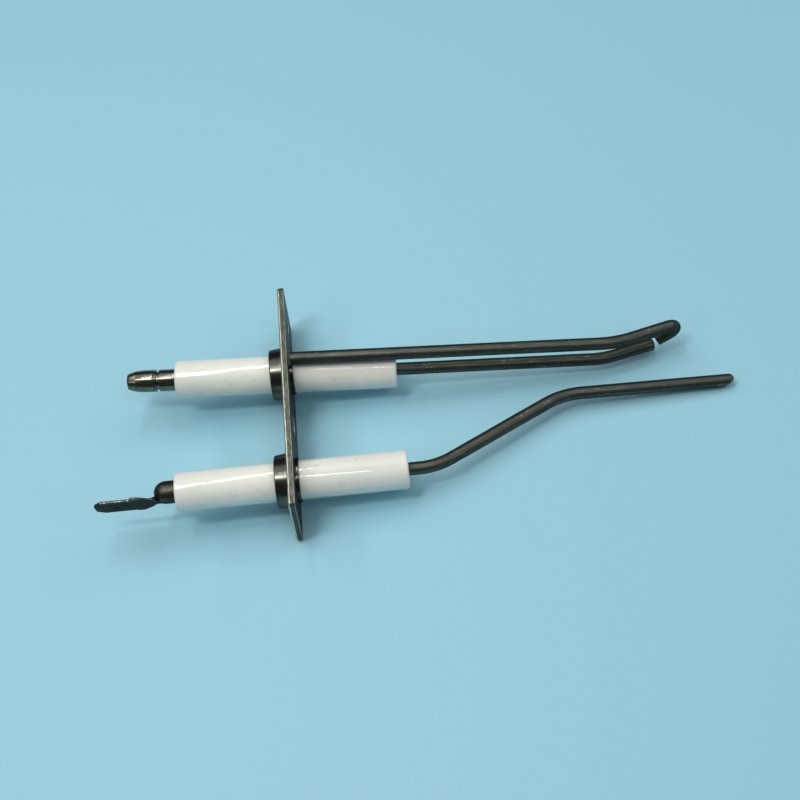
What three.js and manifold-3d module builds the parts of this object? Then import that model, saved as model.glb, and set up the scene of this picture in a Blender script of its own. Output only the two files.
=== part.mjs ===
// Burner ignition and flame-sensing electrode, in millimetres.
//
// One steel plate carries two glazed ceramic insulators. The first holds the spark rod and ends in a round
// push-on pin; the second holds the flame-sensing rod and ends in a flat push-on tab. A third, bare rod is
// welded to the plate over the spark insulator, and its hooked end faces the end of the spark rod.
//
// Frame: the origin is the centre of the plate's burner-side face. +X points into the burner, along the
// rods. +Y runs along the plate, from the sensing electrode to the spark electrode. +Z is up, from the
// spark rod to the ground rod.

import * as THREE from "three";
import { mergeVertices } from "three/addons/utils/BufferGeometryUtils.js";
import Module from "manifold-3d";

// ---------------------------------------------------------------------------------------------------
// Driving dimensions
// ---------------------------------------------------------------------------------------------------

const plateLength = 60;
const plateHeight = 18;
const plateThickness = 1.5;
const plateCornerRadius = 1.5;
const fixingHoleRadius = 2.25;
const fixingHolePlacesY = [23.5, -4.4];

const sparkAxisY = 10.26;
const sensorAxisY = -18.85;
// The spark electrode and the ground rod lean towards the sensing electrode, about the spark bush's middle.
const sparkLean = THREE.MathUtils.degToRad(-3.4);

const bushOuterEnd = -4.6;
const bushInnerEnd = 0.9;
const bushRadiusOuterEnd = 6.0;
const bushRadiusAtPlate = 6.4;
const bushSpigotRadius = 5.1;
const bushBoreRadius = 4.8;
const bushEdgeChamfer = 0.3;
const bushMiddle = (bushOuterEnd + bushInnerEnd) / 2;

const insulatorRadius = 4.5;
const insulatorBackEnd = -27.2;
const insulatorFrontEnd = 25.4;
const insulatorEdgeRadius = 0.55;
const insulatorBoreRadius = 1.75;
const pottingRadius = 2.4;
const pottingDepth = 6;
const bushCementRecess = 0.3;

const rodRadius = 1.5;
// Radial and end play between pieces that sit in or on each other.
const seatPlay = 0.05;

const sparkRodBackEnd = -34;
const sparkRodBend = { at: 74.7, angle: THREE.MathUtils.degToRad(16.1), radius: 20 };
const sparkRodTipLength = 12.9;

const sensorRodBackEnd = -30;
const sensorRodFirstBend = { at: 31.9, angle: THREE.MathUtils.degToRad(26.7), radius: 17 };
const sensorRodSlantLength = 35;
const sensorRodSecondBend = { angle: THREE.MathUtils.degToRad(-27.5), radius: 19 };
const sensorRodTipLength = 40.4;
// The sensing rod's tip is ground to a slope: its angle, how far above the rod's middle it starts, and how
// far its upper side is turned up from the horizontal.
const sensorRodTipSlope = THREE.MathUtils.degToRad(43);
const sensorRodTipLift = 0.3;
const sensorRodTipTurn = THREE.MathUtils.degToRad(32);

const groundRodHeight = 6.66;
const groundRodPlateGap = 0.15;
// The ground rod drifts sideways by groundRodDrift between the plate and its bend.
const groundRodDrift = -0.2;
const groundRodBend = { at: 77.05, angle: THREE.MathUtils.degToRad(17.15), radius: 26.5 };
const groundRodSlantLength = 20.2;
// The hook turns back under the rod: its leg drops by hookDrop below the horizontal and swings by
// hookSwing away from the rod's own vertical plane.
const hookDrop = THREE.MathUtils.degToRad(32.7);
const hookSwing = THREE.MathUtils.degToRad(-5.4);
const hookRadius = 2.05;
const hookLegLength = 10.2;
const weldWidth = 0.45;

const pinBackEnd = -38.9;
const pinRadius = 2.65;
const pinNoseRadius = 1.9;
const pinNoseLength = 3.5;
const pinScoreAt = -32.5;
const pinScoreWidth = 0.3;
const pinScoreDepth = 0.15;
const pinGrooveStart = -32.05;
const pinGrooveEnd = -31.35;
const pinGrooveDepth = 0.5;
const pinCollarRadius = 2.62;
const pinBoreEnd = -34.2;

// The tab is turned about its barrel by tabRoll and stands off the rod's axis by tabOffsetY.
const tabRoll = THREE.MathUtils.degToRad(10);
const tabOffsetY = 0.25;
const tabBarrelRadius = 2.6;
const tabDomeStart = -29.6;
const tabDomeLength = 2.75;
const tabFace = 2.46;
const tabThickness = 0.8;
const tabWidth = 6.3;
const tabShoulderWidth = 7.8;
const tabNeckWidth = 4.3;
const tabRootWidth = 1.6;
const tabRootAt = -31;
const tabNeckAt = -32.7;
const tabWideAt = -36;
const tabShoulderAt = -37.1;
const tabChamferAt = -43.9;
const tabTipAt = -45.5;
const tabTipWidth = 3.4;
const tabBoreEnd = -30.2;
const tabHoleAt = -40.6;
const tabHoleRadius = 0.5;
const tabDomeSteps = 7;
const tabFlareSteps = 6;

const roundSegments = 40;
const rodHalfSegments = 12;
const bendSteps = 10;

// ---------------------------------------------------------------------------------------------------
// Solids
// ---------------------------------------------------------------------------------------------------

const wasm = await Module();
wasm.setup();

// A closed mesh as a solid that can be cut and joined.
function toSolid(geometry) {
  const bare = geometry.clone();
  bare.deleteAttribute("normal");
  bare.deleteAttribute("uv");
  const merged = mergeVertices(bare, 1e-5);
  return new wasm.Manifold(
    new wasm.Mesh({
      numProp: 3,
      vertProperties: new Float32Array(merged.attributes.position.array),
      triVerts: new Uint32Array(merged.index.array),
    }),
  );
}

function toGeometry(solid) {
  const { vertProperties, triVerts } = solid.getMesh();
  const geometry = new THREE.BufferGeometry();
  geometry.setAttribute("position", new THREE.BufferAttribute(vertProperties, 3));
  geometry.setIndex(new THREE.BufferAttribute(triVerts, 1));
  geometry.computeVertexNormals();
  return geometry;
}

function cut(geometry, ...tools) {
  return toGeometry(tools.reduce((solid, tool) => solid.subtract(toSolid(tool)), toSolid(geometry)));
}

// A body turned about the X axis. The outline is a list of [x, radius], with the material on its left
// when it is walked, and it either closes on itself or runs from the axis back to the axis.
function turned(outline) {
  const points = outline.map(([x, radius]) => new THREE.Vector2(radius, x));
  return new THREE.LatheGeometry(points, roundSegments).rotateZ(-Math.PI / 2);
}

// A plain round bar along X, used as a drill.
function drill(radius, from, to) {
  return turned([[from, 0], [from, radius], [to, radius], [to, 0]]);
}

// Points on an arc about a centre, from angle start to angle end, both ends included.
function arcPoints([u, v], size, start, end, steps = 4) {
  return Array.from({ length: steps + 1 }, (_, i) => {
    const angle = start + ((end - start) * i) / steps;
    return [u + size * Math.cos(angle), v + size * Math.sin(angle)];
  });
}

function toVector2([u, v]) {
  return new THREE.Vector2(u, v);
}

// A straight wire with round bends: a curve that is sampled only where the wire starts, bends and ends.
class BentWire extends THREE.Curve {
  constructor(corners, bendRadii) {
    super();
    this.stations = [];
    const first = corners[0];
    const last = corners[corners.length - 1];
    this.addStation(first, corners[1].clone().sub(first).normalize());
    bendRadii.forEach((radius, i) => this.addBend(corners[i], corners[i + 1], corners[i + 2], radius));
    this.addStation(last, last.clone().sub(corners[corners.length - 2]).normalize());
  }

  addStation(point, tangent) {
    this.stations.push({ point: point.clone(), tangent: tangent.clone() });
  }

  addBend(before, corner, after, radius) {
    const incoming = corner.clone().sub(before).normalize();
    const outgoing = after.clone().sub(corner).normalize();
    const angle = incoming.angleTo(outgoing);
    const start = corner.clone().addScaledVector(incoming, -radius * Math.tan(angle / 2));
    const axis = incoming.clone().cross(outgoing).normalize();
    const centre = start.clone().addScaledVector(axis.clone().cross(incoming), radius);
    for (let i = 0; i <= bendSteps; i += 1) {
      const turn = (angle * i) / bendSteps;
      const spoke = start.clone().sub(centre).applyAxisAngle(axis, turn);
      this.addStation(centre.clone().add(spoke), incoming.clone().applyAxisAngle(axis, turn));
    }
  }

  sample(t, key) {
    const place = t * (this.stations.length - 1);
    const index = Math.min(Math.floor(place), this.stations.length - 2);
    return this.stations[index][key].clone().lerp(this.stations[index + 1][key], place - index);
  }

  getPoint(t) {
    return this.sample(t, "point");
  }

  getPointAt(t) {
    return this.sample(t, "point");
  }

  getTangentAt(t) {
    return this.sample(t, "tangent").normalize();
  }
}

function wire(corners, bendRadii) {
  const path = new BentWire(corners, bendRadii);
  const section = new THREE.Shape().absarc(0, 0, rodRadius, 0, 2 * Math.PI, false);
  return new THREE.ExtrudeGeometry(section, {
    steps: path.stations.length - 1,
    curveSegments: rodHalfSegments,
    extrudePath: path,
  });
}

// A unit direction in the horizontal plane at an angle from +X towards +Y, tilted up by rise.
function heading(angle, rise = 0) {
  return new THREE.Vector3(
    Math.cos(rise) * Math.cos(angle),
    Math.cos(rise) * Math.sin(angle),
    Math.sin(rise),
  );
}

// ---------------------------------------------------------------------------------------------------
// Mounting plate: a strip with rounded corners, a hole for each bush and two for its fixing screws
// ---------------------------------------------------------------------------------------------------

function mountingPlate() {
  const cornerY = plateLength / 2 - plateCornerRadius;
  const cornerZ = plateHeight / 2 - plateCornerRadius;
  const corners = [[-cornerY, -cornerZ], [cornerY, -cornerZ], [cornerY, cornerZ], [-cornerY, cornerZ]];
  const outline = new THREE.Shape(
    corners.flatMap((corner, i) => {
      const start = Math.PI + (i * Math.PI) / 2;
      return arcPoints(corner, plateCornerRadius, start, start + Math.PI / 2).map(toVector2);
    }),
  );
  const alongY = new THREE.Vector3(0, 1, 0);
  const alongZ = new THREE.Vector3(0, 0, 1);
  const alongX = new THREE.Vector3(1, 0, 0);
  const blank = new THREE.ExtrudeGeometry(outline, { depth: plateThickness, bevelEnabled: false })
    .applyMatrix4(new THREE.Matrix4().makeBasis(alongY, alongZ, alongX))
    .translate(-plateThickness, 0, 0);
  const reach = 2 * plateThickness;
  const bushHole = drill(bushSpigotRadius + seatPlay, -reach, reach);
  // A half-step turn keeps the facets of the fixing holes off the plate's centre line.
  const fixingHole = drill(fixingHoleRadius, -reach, reach).rotateX(Math.PI / roundSegments);
  return cut(
    blank,
    ...[sparkAxisY, sensorAxisY].map((y) => bushHole.clone().translate(0, y, 0)),
    ...fixingHolePlacesY.map((y) => fixingHole.clone().translate(0, y, 0)),
  );
}

// ---------------------------------------------------------------------------------------------------
// Bush: a slightly tapered flange outside the plate, and a spigot that stands proud inside it
// ---------------------------------------------------------------------------------------------------

function bush() {
  const flangeFace = -plateThickness - seatPlay;
  return turned([
    [bushOuterEnd, bushBoreRadius],
    [bushInnerEnd, bushBoreRadius],
    [bushInnerEnd, bushSpigotRadius],
    [flangeFace, bushSpigotRadius],
    [flangeFace, bushRadiusAtPlate],
    [bushOuterEnd + bushEdgeChamfer, bushRadiusOuterEnd],
    [bushOuterEnd, bushRadiusOuterEnd - bushEdgeChamfer],
    [bushOuterEnd, bushBoreRadius],
  ].reverse());
}

// The cement between bush and insulator. lean is the insulator's angle in the bush.
function bushCement(lean) {
  const ring = drill(
    bushBoreRadius - seatPlay,
    bushOuterEnd + bushCementRecess,
    bushInnerEnd - bushCementRecess,
  );
  const insulatorSpace = drill(insulatorRadius + seatPlay, insulatorBackEnd, insulatorFrontEnd)
    .translate(-bushMiddle, 0, 0)
    .rotateZ(lean)
    .translate(bushMiddle, 0, 0);
  return cut(ring, insulatorSpace);
}

// ---------------------------------------------------------------------------------------------------
// Insulator: a glazed tube with rounded edges, and a wider bore at its back end for the potting
// ---------------------------------------------------------------------------------------------------

function insulator() {
  const r = insulatorEdgeRadius;
  const shoulder = insulatorBackEnd + pottingDepth;
  const outline = [
    [insulatorBackEnd, pottingRadius],
    ...arcPoints([insulatorBackEnd + r, insulatorRadius - r], r, Math.PI, Math.PI / 2),
    ...arcPoints([insulatorFrontEnd - r, insulatorRadius - r], r, Math.PI / 2, 0),
    [insulatorFrontEnd, insulatorBoreRadius],
    [shoulder, insulatorBoreRadius],
    [shoulder, pottingRadius],
    [insulatorBackEnd, pottingRadius],
  ];
  return turned(outline);
}

function rodCement() {
  const back = insulatorBackEnd + seatPlay;
  const front = insulatorBackEnd + pottingDepth - seatPlay;
  const outer = pottingRadius - seatPlay;
  const inner = rodRadius + seatPlay;
  return turned([[back, inner], [back, outer], [front, outer], [front, inner], [back, inner]]);
}

// ---------------------------------------------------------------------------------------------------
// Rods
// ---------------------------------------------------------------------------------------------------

function sparkRod() {
  const corner = new THREE.Vector3(sparkRodBend.at, 0, 0);
  return wire(
    [
      new THREE.Vector3(sparkRodBackEnd, 0, 0),
      corner,
      corner.clone().addScaledVector(heading(sparkRodBend.angle), sparkRodTipLength),
    ],
    [sparkRodBend.radius],
  );
}

function sensorRod() {
  const first = new THREE.Vector3(sensorRodFirstBend.at, 0, 0);
  const slant = sensorRodFirstBend.angle;
  const second = first.clone().addScaledVector(heading(slant), sensorRodSlantLength);
  const tipAngle = slant + sensorRodSecondBend.angle;
  const tip = second.clone().addScaledVector(heading(tipAngle), sensorRodTipLength);
  const rod = wire(
    [new THREE.Vector3(sensorRodBackEnd, 0, 0), first, second, tip],
    [sensorRodFirstBend.radius, sensorRodSecondBend.radius],
  );
  const lift = heading(tipAngle + Math.PI / 2, sensorRodTipTurn);
  const slope = lift.clone()
    .multiplyScalar(Math.sin(sensorRodTipSlope))
    .addScaledVector(heading(tipAngle), -Math.cos(sensorRodTipSlope));
  const onSlope = tip.clone().addScaledVector(lift, sensorRodTipLift);
  return toGeometry(toSolid(rod).trimByPlane(slope.toArray(), slope.dot(onSlope)));
}

function groundRod() {
  const bend = groundRodBend.angle;
  const corner = new THREE.Vector3(groundRodBend.at, groundRodDrift, groundRodHeight);
  const hook = corner.clone().addScaledVector(heading(bend), groundRodSlantLength);
  const leg = heading(bend + hookSwing + Math.PI, -hookDrop);
  return wire(
    [
      new THREE.Vector3(groundRodPlateGap, 0, groundRodHeight),
      corner,
      hook,
      hook.clone().addScaledVector(leg, hookLegLength),
    ],
    [groundRodBend.radius, hookRadius],
  );
}

// The fillet of weld round the foot of the ground rod, kept clear of the bush's spigot below it.
function groundRodWeld() {
  const foot = rodRadius + seatPlay;
  const face = groundRodPlateGap;
  const bead = turned([[face, foot], [face, foot + weldWidth], [face + weldWidth, foot], [face, foot]]);
  bead.translate(0, 0, groundRodHeight);
  return cut(bead, drill(bushSpigotRadius + 2 * seatPlay, -bushInnerEnd, 2 * bushInnerEnd));
}

// ---------------------------------------------------------------------------------------------------
// Terminals
// ---------------------------------------------------------------------------------------------------

// Round push-on pin: a curved nose, a scored line, a snap groove and a blind bore for the rod's end.
function sparkTerminalPin() {
  const seat = insulatorBackEnd - seatPlay;
  const bore = rodRadius + seatPlay;
  const noseSteps = 6;
  const nose = Array.from({ length: noseSteps + 1 }, (_, i) => {
    const t = i / noseSteps;
    const swell = Math.sin((t * Math.PI) / 2);
    return [pinBackEnd + pinNoseLength * t, pinNoseRadius + (pinRadius - pinNoseRadius) * swell];
  });
  return turned([
    [pinBackEnd, 0],
    ...nose,
    [pinScoreAt - pinScoreWidth / 2, pinRadius],
    [pinScoreAt, pinRadius - pinScoreDepth],
    [pinScoreAt + pinScoreWidth / 2, pinRadius],
    [pinGrooveStart, pinRadius],
    [pinGrooveStart, pinRadius - pinGrooveDepth],
    [pinGrooveEnd, pinRadius - pinGrooveDepth],
    [pinGrooveEnd, pinCollarRadius],
    [seat, pinCollarRadius],
    [seat, bore],
    [pinBoreEnd, bore],
    [pinBoreEnd, 0],
  ]);
}

// Flat push-on tab made from one tube: a barrel with a domed end on the rod, pressed flat to one side.
function sensorTabTerminal() {
  const seat = insulatorBackEnd - seatPlay;
  const dome = arcPoints([0, 0], 1, 0, Math.PI / 2, tabDomeSteps).map(([along, across]) => [
    tabDomeStart - tabDomeLength * along,
    tabBarrelRadius * across,
  ]);
  const barrel = turned([...dome, [seat, tabBarrelRadius], [seat, 0]]);
  const neckHalf = tabNeckWidth / 2;
  const shoulderHalf = tabShoulderWidth / 2;
  const flare = arcPoints([0, 0], 1, 0, Math.PI, tabFlareSteps).map(([turn], i) => [
    THREE.MathUtils.lerp(tabNeckAt, tabWideAt, i / tabFlareSteps),
    THREE.MathUtils.lerp(shoulderHalf, neckHalf, (1 + turn) / 2),
  ]);
  const edge = [
    [tabRootAt, tabRootWidth / 2],
    ...flare,
    [tabShoulderAt, shoulderHalf],
    [tabShoulderAt, tabWidth / 2],
    [tabChamferAt, tabWidth / 2],
    [tabTipAt, tabTipWidth / 2],
  ];
  const mirrored = edge.map(([x, half]) => [x, -half]).reverse();
  const outline = new THREE.Shape([...edge, ...mirrored].map(toVector2));
  const blade = new THREE.ExtrudeGeometry(outline, { depth: tabThickness, bevelEnabled: false })
    .rotateX(Math.PI / 2)
    .translate(0, tabFace, 0);
  const bore = drill(rodRadius + seatPlay, tabBoreEnd, insulatorBackEnd + 1)
    .translate(0, -tabOffsetY, 0)
    .rotateX(-Math.PI - tabRoll);
  const hole = drill(tabHoleRadius, -tabBarrelRadius, 2 * tabBarrelRadius).rotateZ(Math.PI / 2);
  hole.translate(tabHoleAt, 0, 0);
  return toGeometry(toSolid(barrel).add(toSolid(blade)).subtract(toSolid(bore)).subtract(toSolid(hole)));
}

// ---------------------------------------------------------------------------------------------------
// Assembly
// ---------------------------------------------------------------------------------------------------

const steelPlate = { color: 0x8c857a, roughness: 0.42, metalness: 1 };
const turnedSteel = { color: 0x6f6a63, roughness: 0.35, metalness: 1 };
const glazedCeramic = { color: 0xe9e7df, roughness: 0.12, metalness: 0 };
const oxidisedWire = { color: 0x4a443d, roughness: 0.45, metalness: 1 };
const nickelPin = { color: 0xa89f92, roughness: 0.22, metalness: 1 };
const heatedTab = { color: 0x4d4640, roughness: 0.4, metalness: 1 };
const cement = { color: 0xb5ad9f, roughness: 0.95, metalness: 0 };
const weldMetal = { color: 0x4f4a45, roughness: 0.6, metalness: 1 };

function piece(name, geometry, finish) {
  const mesh = new THREE.Mesh(geometry, new THREE.MeshStandardMaterial(finish));
  mesh.name = name;
  return mesh;
}

const sensorElectrode = new THREE.Group();
sensorElectrode.position.y = sensorAxisY;
sensorElectrode.add(
  piece("sensor_bush", bush(), turnedSteel),
  piece("sensor_bush_cement", bushCement(0), cement),
  piece("sensor_insulator", insulator(), glazedCeramic),
  piece("sensor_rod_cement", rodCement(), cement),
  piece("sensor_rod", sensorRod(), oxidisedWire),
);
const tabTerminal = piece("sensor_tab_terminal", sensorTabTerminal(), heatedTab);
tabTerminal.rotation.x = Math.PI + tabRoll;
tabTerminal.position.y = tabOffsetY;
sensorElectrode.add(tabTerminal);

const sparkSeat = new THREE.Group();
sparkSeat.position.y = sparkAxisY;
sparkSeat.add(
  piece("spark_bush", bush(), turnedSteel),
  piece("spark_bush_cement", bushCement(sparkLean), cement),
);

const sparkElectrode = new THREE.Group();
sparkElectrode.position.y = sparkAxisY - bushMiddle * Math.tan(sparkLean);
sparkElectrode.rotation.z = sparkLean;
sparkElectrode.add(
  piece("spark_insulator", insulator(), glazedCeramic),
  piece("spark_rod_cement", rodCement(), cement),
  piece("spark_rod", sparkRod(), oxidisedWire),
  piece("spark_terminal_pin", sparkTerminalPin(), nickelPin),
  piece("ground_rod", groundRod(), oxidisedWire),
  piece("ground_rod_weld", groundRodWeld(), weldMetal),
);

const group = new THREE.Group();
group.name = "ignition_electrode";
group.add(piece("mounting_plate", mountingPlate(), steelPlate), sensorElectrode, sparkSeat, sparkElectrode);

export default group;
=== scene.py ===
"""Burner ignition and flame-sensing electrode: the looks, over the CAD frame.

All lengths are written in millimetres and turned into metres by MM. The frame is the CAD row's: the origin
is the centre of the plate's burner-side face, +X runs along the rods, +Y along the plate and +Z up.
"""

import math

import bmesh
import bpy
from mathutils import Matrix, Vector, noise


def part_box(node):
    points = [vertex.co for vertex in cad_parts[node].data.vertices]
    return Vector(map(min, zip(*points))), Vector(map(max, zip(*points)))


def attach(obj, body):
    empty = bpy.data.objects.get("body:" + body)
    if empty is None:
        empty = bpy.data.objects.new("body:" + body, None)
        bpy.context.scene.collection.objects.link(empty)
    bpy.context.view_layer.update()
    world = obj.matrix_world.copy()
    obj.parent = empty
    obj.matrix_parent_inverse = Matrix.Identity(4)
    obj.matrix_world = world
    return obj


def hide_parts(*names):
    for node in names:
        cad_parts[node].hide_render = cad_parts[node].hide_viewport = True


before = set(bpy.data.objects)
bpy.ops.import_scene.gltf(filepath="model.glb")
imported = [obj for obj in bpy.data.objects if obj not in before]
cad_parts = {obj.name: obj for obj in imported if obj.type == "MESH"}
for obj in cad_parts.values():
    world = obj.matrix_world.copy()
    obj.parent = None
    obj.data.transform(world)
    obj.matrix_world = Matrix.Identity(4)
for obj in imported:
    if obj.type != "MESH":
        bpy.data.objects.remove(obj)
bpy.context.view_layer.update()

MM = 0.001

# ---- Dimensions: lengths in millimetres, angles in radians. An ease is the rounding of an edge ----

PLATE_THICKNESS = 1.5
PLATE_CORNER_RADIUS = 1.5
PLATE_EDGE_EASE = 0.1
PLATE_ROLL_WIDTH = 0.55
PLATE_ROLL_DEPTH = 0.22
PLATE_ROLL_POWER = 1.3
FIXING_HOLE_RADIUS = 2.25
FIXING_HOLES_Y = (23.5, -4.4)

SPARK_AXIS_Y = 10.26
SENSOR_AXIS_Y = -18.85
SPARK_LEAN = math.radians(-3.4)

# Pieces that fit into one another are drawn apart by this much.
SEAT_PLAY = 0.05

BUSH_OUTER_END = -4.6
BUSH_INNER_END = 0.9
BUSH_MIDDLE = (BUSH_OUTER_END + BUSH_INNER_END) / 2
BUSH_RADIUS_OUTER_END = 6.0
BUSH_RADIUS_AT_PLATE = 6.4
BUSH_SPIGOT_RADIUS = 5.1
BUSH_BORE_RADIUS = 4.8
BUSH_OUTER_EASE = 0.3
BUSH_FLANGE_EASE = 0.15
BUSH_EDGE_EASE = 0.12
BUSH_MOUTH_EASE = 0.08

GROUT_RECESS = 0.3
GROUT_INNER_RADIUS = 3.6
GROUT_CORE_ENDS = (-9.0, 6.0)

INSULATOR_RADIUS = 4.5
INSULATOR_BACK_END = -27.2
INSULATOR_FRONT_END = 25.4
INSULATOR_MIDDLE = (INSULATOR_BACK_END + INSULATOR_FRONT_END) / 2
INSULATOR_HALF_LENGTH = (INSULATOR_FRONT_END - INSULATOR_BACK_END) / 2
INSULATOR_EDGE_RADIUS = 0.55
INSULATOR_BORE_RADIUS = 1.75
INSULATOR_BORE_EASE = 0.2
POTTING_RADIUS = 2.4
POTTING_DEPTH = 6.0
POTTING_MOUTH_EASE = 0.25
POTTING_EDGE_EASE = 0.05

ROD_RADIUS = 1.5
ROD_START_EASE = 0.1
ROD_UNEVENNESS = 0.012
ROD_UNEVEN_ALONG = 0.12
ROD_UNEVEN_ACROSS = 0.7
ROD_SPACING = 0.5
ROD_SIDES = 48
ROD_EASE_RINGS = 6
ROD_TIP_RINGS = 5

SPARK_ROD_START = -34.0
SPARK_ROD_CORNER_X = 74.7
SPARK_ROD_BEND = math.radians(16.1)
SPARK_ROD_BEND_RADIUS = 20.0
SPARK_ROD_TIP_LENGTH = 12.9
SPARK_ROD_TIP_EASE = 0.5

SENSOR_ROD_START = -30.0
SENSOR_ROD_CORNER_X = 31.9
SENSOR_SLANT = math.radians(26.7)
SENSOR_SLANT_LENGTH = 35.0
SENSOR_TIP_ANGLE = SENSOR_SLANT - math.radians(27.5)
SENSOR_TIP_LENGTH = 40.4
SENSOR_BEND_RADII = (17.0, 19.0)
SENSOR_TIP_EASE = 0.4
SENSOR_TIP_GRIND = 2.2

# The sensing rod's tip is ground away on the side that faces away from this direction.
TIP_UP = Vector((0, 0.85, 0.53))
TIP_PEAK = 0.36
TIP_REACH = 3.0
TIP_UPPER_SHARE = 0.25

GROUND_ROD_START = 0.15
GROUND_ROD_HEIGHT = 6.66
GROUND_ROD_CORNER_X = 77.05
GROUND_ROD_CORNER_Y = -0.2
GROUND_BEND = math.radians(17.15)
GROUND_BEND_RADIUS = 26.5
GROUND_SLANT_LENGTH = 20.2
HOOK_RADIUS = 2.05
HOOK_DROP = math.radians(32.7)
HOOK_SWING = math.radians(-5.4)
HOOK_LEG_LENGTH = 10.2
HOOK_TIP_EASE = 0.15

BEAD_START = 0.15
BEAD_CREST = 0.5
BEAD_EVEN_FROM = 0.6
BEAD_END = 0.65
BEAD_BASE_WIDTH = 0.45
BEAD_CREST_WIDTH = 0.25
BEAD_BASE_EASE = 0.1
BEAD_CREST_EASE = 0.3
BEAD_UNEVENNESS = 0.1
BEAD_UNEVEN_ALONG = 0.8
BEAD_UNEVEN_ACROSS = 1.9
BEAD_SPIGOT_GAP = 0.1
BEAD_CUT_ENDS = (-1.0, 2.0)

PIN_TIP = -38.9
PIN_TIP_RADIUS = 1.86
PIN_TIP_CHAMFER_END = -38.5
PIN_TIP_CHAMFER_RADIUS = 2.06
PIN_NOSE_MIDDLE = -36.9
PIN_NOSE_RADIUS = 2.5
PIN_NOSE_END = -35.2
PIN_RADIUS = 2.65
PIN_REAR_RADIUS = 2.62
PIN_SCORE_START = -32.65
PIN_SCORE_MIDDLE = -32.5
PIN_SCORE_END = -32.35
PIN_SCORE_RADIUS = 2.48
PIN_GROOVE_START = -32.1
PIN_GROOVE_FLOOR = (-32.0, -31.4)
PIN_GROOVE_END = -31.3
PIN_GROOVE_RADIUS = 2.15
PIN_GROOVE_EASE = 0.12
PIN_BORE_END = -34.2
PIN_TINT_END = -33.0

# The tab's far and near sides are the two long edges of its blade.
TAB_ROLL = math.radians(10)
TAB_OFFSET_Y = 0.25
TAB_BARREL_RADIUS = 2.6
TAB_BARREL_EASE = 0.15
TAB_DOME_START = -29.6
TAB_DOME_LENGTH = 2.75
TAB_DOME_STEPS = 16
TAB_BORE_ENDS = (-30.2, -26.0)
TAB_FACE = 2.46
TAB_THICKNESS = 0.8
TAB_ROOT = 0.8
TAB_ROOT_THICKENING = 0.7
TAB_ROOT_THIN_START = -31.2
TAB_ROOT_THIN_LENGTH = 2.0
TAB_NECK_FAR = 2.35
TAB_NECK_FAR_START = -31.0
TAB_NECK_FAR_LENGTH = 1.4
TAB_NECK_NEAR = 1.9
TAB_NECK_NEAR_START = -31.6
TAB_NECK_NEAR_LENGTH = 1.5
TAB_SHOULDER_FAR = 4.0
TAB_SHOULDER_FAR_START = -32.7
TAB_SHOULDER_FAR_LENGTH = 3.4
TAB_SHOULDER_FAR_END = -37.2
TAB_SHOULDER_FAR_STEP = 0.12
TAB_SHOULDER_STATIONS = 4
TAB_SHOULDER_NEAR = 3.6
TAB_SHOULDER_NEAR_START = -32.3
TAB_SHOULDER_NEAR_LENGTH = 3.2
TAB_SHOULDER_NEAR_END = -36.4
TAB_SHOULDER_NEAR_STEP = 0.3
TAB_TORN_FROM = -35.5
TAB_TORN_DEPTH = 0.07
TAB_TORN_SCALE = 3.1
TAB_HALF_WIDTH = 3.15
TAB_CHAMFER_START = -43.9
TAB_TIP = -45.5
TAB_TIP_HALF_WIDTH = 1.7
TAB_TIP_EASE = 0.25
TAB_TIP_THINNING = 0.35
TAB_HOLE_AT = -40.6
TAB_HOLE_RADIUS = 0.5
TAB_HOLE_REACH = 6.0
TAB_EDGE_STEPS = 16
TAB_SPACING = 0.1

# The part rests on the plate's lower edge and the sensing rod's tip, so the floor slopes in its frame.
FLOOR_SLOPE = math.radians(4.1)
FLOOR_HALF_SIZE = 1500

# ---- Mesh helpers ----

MERGE_DISTANCE = 1e-7
NORMAL_WEIGHT = 60
EASE_STEP = math.radians(12)
EASE_SHARE = 0.49
BEND_STEP = math.radians(2.5)
ON_AXIS = 1e-6


def mesh_object(name, points, faces):
    """A mesh object from points in millimetres, with its faces turned outwards."""
    mesh = bpy.data.meshes.new(name)
    mesh.from_pydata([Vector(p) * MM for p in points], [], faces)
    form = bmesh.new()
    form.from_mesh(mesh)
    bmesh.ops.remove_doubles(form, verts=form.verts, dist=MERGE_DISTANCE)
    bmesh.ops.recalc_face_normals(form, faces=form.faces)
    form.to_mesh(mesh)
    form.free()
    obj = bpy.data.objects.new(name, mesh)
    bpy.context.scene.collection.objects.link(obj)
    return obj


def smooth(obj, angle=32):
    """Shades smooth, keeps edges sharper than angle, and leans the normals towards the large faces."""
    obj.data.shade_smooth()
    obj.data.set_sharp_from_angle(angle=math.radians(angle))
    weighted = obj.modifiers.new("weighted_normals", "WEIGHTED_NORMAL")
    weighted.keep_sharp = True
    weighted.weight = NORMAL_WEIGHT
    return obj


def finish_piece(obj, node, material, place=None):
    """Puts a piece in place, gives it its material, and lets it stand for its CAD node."""
    if place is not None:
        obj.matrix_world = place
    obj.data.materials.append(material)
    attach(obj, "root")
    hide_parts(node)


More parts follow.
